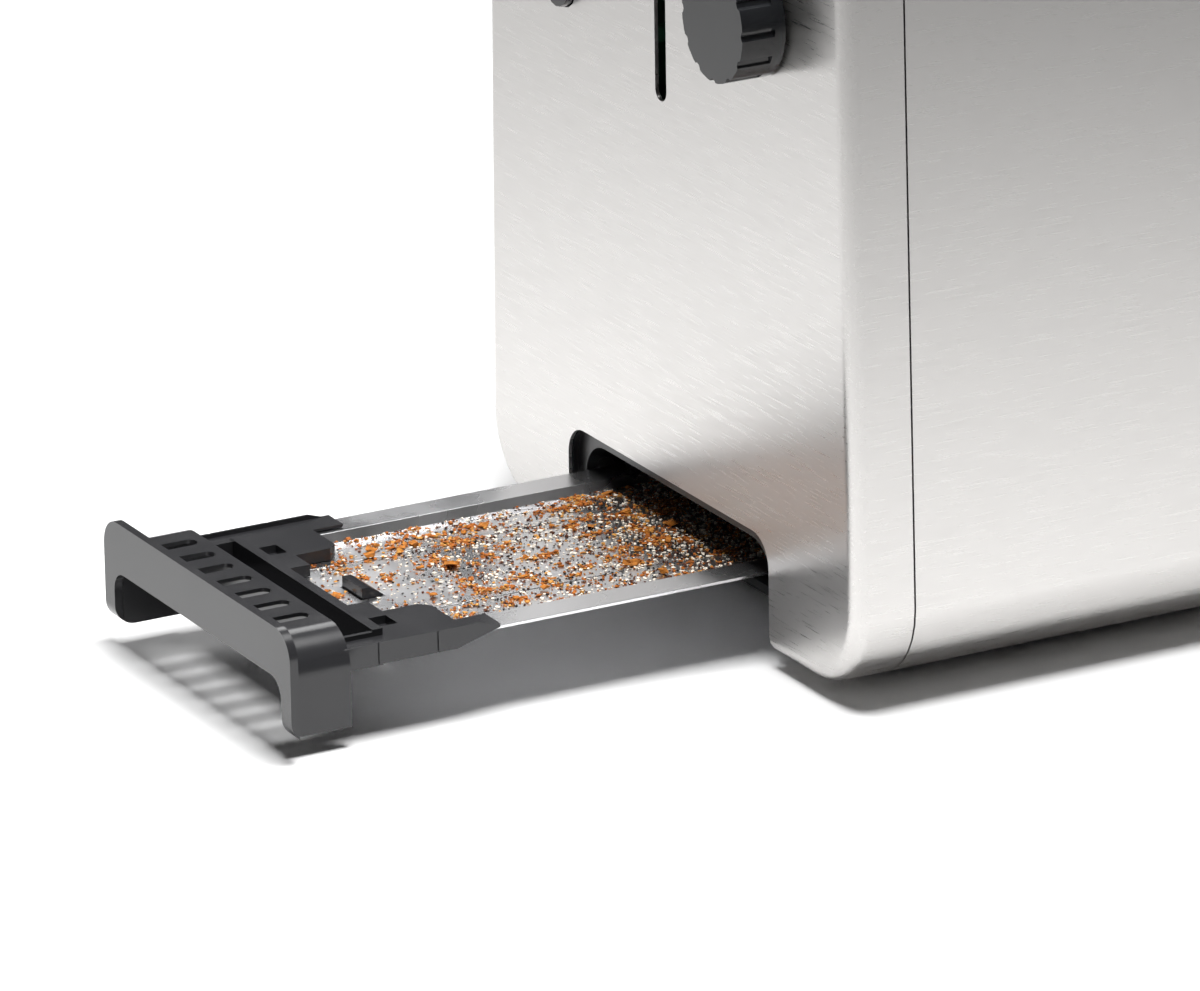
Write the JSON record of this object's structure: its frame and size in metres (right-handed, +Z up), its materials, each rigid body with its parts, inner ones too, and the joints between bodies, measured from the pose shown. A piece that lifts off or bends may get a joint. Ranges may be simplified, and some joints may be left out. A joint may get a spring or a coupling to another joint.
{
  "type": "pop-up toaster",
  "caption": "Two-slot pop-up toaster with a brushed steel body, a front lever and a pull-out crumb tray shown partly drawn out.",
  "frame": {"origin": "on the table under the middle of the footprint, with the crumb tray pulled out as stored", "axes": "+X runs from the control and tray end to the cord end, +Y to the toaster's left, +Z up"},
  "size_m": [0.4398, 0.19, 0.2106],
  "materials": {
    "brushed_steel": "horizontally brushed, satin",
    "sheet_steel": "bright plain sheet",
    "black_plastic": "satin moulded black",
    "gloss_plastic": "polished black",
    "rubber": "matt black",
    "mica": "dull mica board wound with flat heating wire",
    "guide_wire": "bright drawn wire",
    "circuit_board": "green laminate",
    "copper_winding": "enamelled copper winding"
  },
  "bodies": {
    "toaster": {"front_end_cap": "brushed_steel", "rear_end_cap": "brushed_steel", "body_wrap": "brushed_steel", "front_bulkhead": "sheet_steel", "rear_bulkhead": "sheet_steel", "reflector_right": "sheet_steel", "reflector_left": "sheet_steel", "latch_shelf": "sheet_steel", "lift_bracket": "sheet_steel", "guide_rod": "sheet_steel", "screw_front_right": "sheet_steel", "screw_front_left": "sheet_steel", "screw_rear_right": "sheet_steel", "screw_rear_left": "sheet_steel", "base_plate": "black_plastic", "tray_liner": "black_plastic", "dial_switch": "black_plastic", "top_slot_frame": "gloss_plastic", "foot_front_right": "rubber", "foot_front_left": "rubber", "foot_rear_right": "rubber", "foot_rear_left": "rubber", "cord_gland": "rubber", "heater_right_inner": "mica", "heater_right_outer": "mica", "heater_left_inner": "mica", "heater_left_outer": "mica", "control_board": "circuit_board", "latch_magnet": "copper_winding", "lift_spring": "guide_wire"},
    "tray": {"tray_handle": "black_plastic", "tray_pan": "sheet_steel"},
    "carriage": {"lift_carriage": "sheet_steel", "bread_rest_right": "sheet_steel", "bread_rest_left": "sheet_steel", "lever_arm": "sheet_steel", "lever_knob": "gloss_plastic"},
    "dial": {"browning_dial": "gloss_plastic"},
    "button_lower": {"button_1": "gloss_plastic"},
    "button_middle": {"button_2": "gloss_plastic"},
    "button_upper": {"button_3": "gloss_plastic"},
    "guide_ri": {"guide_right_inner": "guide_wire"},
    "guide_ro": {"guide_right_outer": "guide_wire"},
    "guide_li": {"guide_left_inner": "guide_wire"},
    "guide_lo": {"guide_left_outer": "guide_wire"}
  },
  "joints": [
    {"name": "tray_slide", "type": "slide", "parent": "toaster", "child": "tray", "axis": [-1, 0, 0], "range_m": [-0.1317, 0.1]},
    {"name": "lever_slide", "type": "slide", "parent": "toaster", "child": "carriage", "axis": [0, 0, 1], "range_m": [-0.055, 0], "stiffness_N_per_m": 60, "springref_m": 0.05, "deforming": ["lift_spring"]},
    {"name": "dial_turn", "type": "hinge", "parent": "toaster", "child": "dial", "pos_m": [-0.09315, -0.05, 0.168], "axis": [1, 0, 0], "range_deg": [-135, 135]},
    {"name": "button_lower_press", "type": "slide", "parent": "toaster", "child": "button_lower", "axis": [1, 0, 0], "range_m": [0, 0.0015], "stiffness_N_per_m": 300},
    {"name": "button_middle_press", "type": "slide", "parent": "toaster", "child": "button_middle", "axis": [1, 0, 0], "range_m": [0, 0.0015], "stiffness_N_per_m": 300},
    {"name": "button_upper_press", "type": "slide", "parent": "toaster", "child": "button_upper", "axis": [1, 0, 0], "range_m": [0, 0.0015], "stiffness_N_per_m": 300},
    {"name": "guide_ri_close", "type": "slide", "parent": "toaster", "child": "guide_ri", "axis": [0, -1, 0], "range_m": [0, 0.006]},
    {"name": "guide_ro_close", "type": "slide", "parent": "toaster", "child": "guide_ro", "axis": [0, 1, 0], "range_m": [0, 0.006]},
    {"name": "guide_li_close", "type": "slide", "parent": "toaster", "child": "guide_li", "axis": [0, 1, 0], "range_m": [0, 0.006]},
    {"name": "guide_lo_close", "type": "slide", "parent": "toaster", "child": "guide_lo", "axis": [0, -1, 0], "range_m": [0, 0.006]}
  ],
  "couplings": [
    {"joint": "guide_ri_close", "follows": "lever_slide", "ratio": -0.10909},
    {"joint": "guide_ro_close", "follows": "lever_slide", "ratio": -0.10909},
    {"joint": "guide_li_close", "follows": "lever_slide", "ratio": -0.10909},
    {"joint": "guide_lo_close", "follows": "lever_slide", "ratio": -0.10909}
  ]
}
